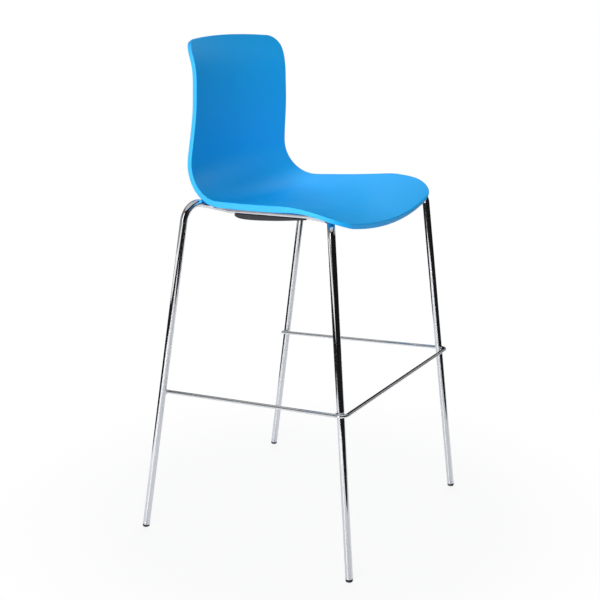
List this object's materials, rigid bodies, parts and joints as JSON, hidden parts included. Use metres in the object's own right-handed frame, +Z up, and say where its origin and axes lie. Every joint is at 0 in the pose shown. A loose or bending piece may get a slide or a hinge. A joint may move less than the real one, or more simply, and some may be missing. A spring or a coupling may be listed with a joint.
{
  "type": "bar stool",
  "caption": "Bar-height stool with a one-piece moulded seat and low back, bent tube side frames with splayed legs and a bent rod foot rail.",
  "frame": {"origin": "on the floor, at the middle of the footprint's box", "axes": "+Z up from the floor, -Y the way the sitter faces, +X across; the left and right halves mirror across X = 0"},
  "size_m": [0.586, 0.5452, 1.1075],
  "materials": {
    "shell": "satin moulded polypropylene, fine grain",
    "chrome": "bright plated steel",
    "pad": "moulded, satin",
    "glide": "moulded, satin",
    "screw": "zinc plated",
    "insert": "turned"
  },
  "bodies": {
    "root": {"seat_shell": "shell", "side_frame_left": "chrome", "side_frame_right": "chrome", "foot_rail": "chrome", "cross_plate_front": "chrome", "cross_plate_rear": "chrome", "stacking_pad_left": "pad", "stacking_pad_right": "pad", "glide_front_left": "glide", "glide_front_right": "glide", "glide_rear_left": "glide", "glide_rear_right": "glide", "seat_screws": "screw", "seat_washers": "screw", "thread_inserts": "insert", "pad_screws": "screw", "rail_welds": "chrome", "plate_welds": "chrome"}
  },
  "joints": []
}
